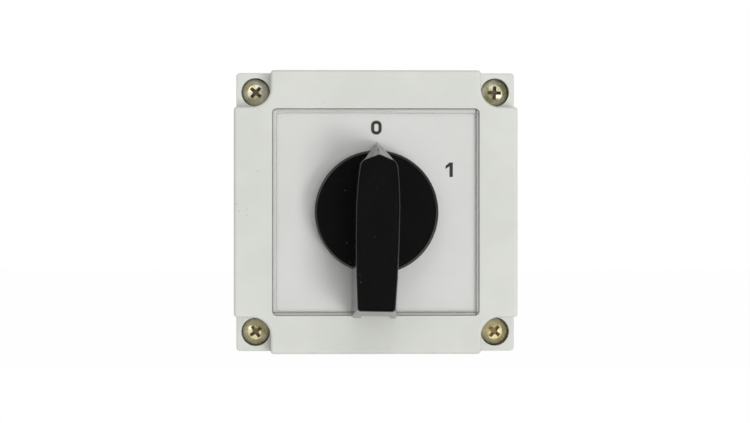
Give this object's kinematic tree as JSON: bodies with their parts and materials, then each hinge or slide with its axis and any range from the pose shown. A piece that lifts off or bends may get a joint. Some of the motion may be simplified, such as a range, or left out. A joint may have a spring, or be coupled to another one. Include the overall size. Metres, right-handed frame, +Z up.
{
  "type": "enclosed rotary cam switch",
  "caption": "Wall box with a two-position rotary cam switch: a pointed lever on a round disc turns a square shaft with a detent, stops, cams and sprung contacts.",
  "frame": {"origin": "centre of the box's back face, on the wall, on the shaft's axis", "axes": "+Z up, +X to the right as seen from the front, the front with the handle looks along -Y and the wall is on the +Y side"},
  "size_m": [0.088, 0.087, 0.088],
  "materials": {
    "box_plastic": "satin moulded grey",
    "gasket_foam": "matte",
    "yellow_zinc": "yellow passivated",
    "black_rubber": "matte",
    "brass": "machined",
    "contact_brass": "stamped",
    "legend_card": "matte",
    "clear_plate": "clear gloss",
    "bright_zinc": "bright zinc",
    "spring_steel": "bright",
    "deck_plastic": "moulded",
    "nylon": "natural nylon",
    "black_gloss": "gloss"
  },
  "bodies": {
    "enclosure": {"base_box": "box_plastic", "cover": "box_plastic", "cover_gasket": "gasket_foam", "cover_screws": "yellow_zinc", "cover_washers": "black_rubber", "cover_inserts": "brass", "legend_sheet": "legend_card", "window_plate": "clear_plate", "switch_screws": "bright_zinc", "shaft_seal": "black_rubber", "latch_housing": "deck_plastic", "latch_springs": "spring_steel", "latch_plate": "deck_plastic", "deck_front": "deck_plastic", "deck_rear": "deck_plastic", "fixed_contacts_front": "contact_brass", "fixed_contacts_rear": "contact_brass", "terminal_screws_front": "bright_zinc", "terminal_screws_rear": "bright_zinc", "wire_clamps_front": "bright_zinc", "wire_clamps_rear": "bright_zinc", "end_plate": "deck_plastic", "tie_bolts": "bright_zinc", "tie_washers": "spring_steel", "earth_block": "brass", "earth_screws": "bright_zinc", "contact_spring_1": "spring_steel", "contact_spring_2": "spring_steel", "contact_spring_3": "spring_steel", "contact_spring_4": "spring_steel"},
    "rotor": {"handle": "black_gloss", "lever_cap": "black_gloss", "handle_screw": "bright_zinc", "handle_washer": "bright_zinc", "shaft": "bright_zinc", "shaft_clip": "spring_steel", "star_wheel": "nylon", "stop_disc": "bright_zinc", "cam_front": "nylon", "cam_rear": "nylon"},
    "contact_1": {"plunger_1": "nylon", "bridge_1": "contact_brass"},
    "contact_2": {"plunger_2": "nylon", "bridge_2": "contact_brass"},
    "contact_3": {"plunger_3": "nylon", "bridge_3": "contact_brass"},
    "contact_4": {"plunger_4": "nylon", "bridge_4": "contact_brass"}
  },
  "joints": [
    {"name": "handle_turn", "type": "hinge", "parent": "enclosure", "child": "rotor", "pos_m": [0, -0.062, 0], "axis": [0, 1, 0], "range_deg": [0, 60], "deforming": ["latch_springs"]},
    {"name": "contact_1_slide", "type": "slide", "parent": "enclosure", "child": "contact_1", "axis": [0, 0, -1], "range_m": [0, 0.00196], "deforming": ["contact_spring_1"]},
    {"name": "contact_2_slide", "type": "slide", "parent": "enclosure", "child": "contact_2", "axis": [0, 0, 1], "range_m": [0, 0.00196], "deforming": ["contact_spring_2"]},
    {"name": "contact_3_slide", "type": "slide", "parent": "enclosure", "child": "contact_3", "axis": [0, 0, -1], "range_m": [0, 0.00196], "deforming": ["contact_spring_3"]},
    {"name": "contact_4_slide", "type": "slide", "parent": "enclosure", "child": "contact_4", "axis": [0, 0, 1], "range_m": [0, 0.00196], "deforming": ["contact_spring_4"]}
  ],
  "couplings": [
    {"joint": "contact_1_slide", "follows": "handle_turn", "m_per_rad": 0.0018621},
    {"joint": "contact_2_slide", "follows": "handle_turn", "m_per_rad": 0.0018621},
    {"joint": "contact_3_slide", "follows": "handle_turn", "m_per_rad": 0.0018621},
    {"joint": "contact_4_slide", "follows": "handle_turn", "m_per_rad": 0.0018621}
  ]
}
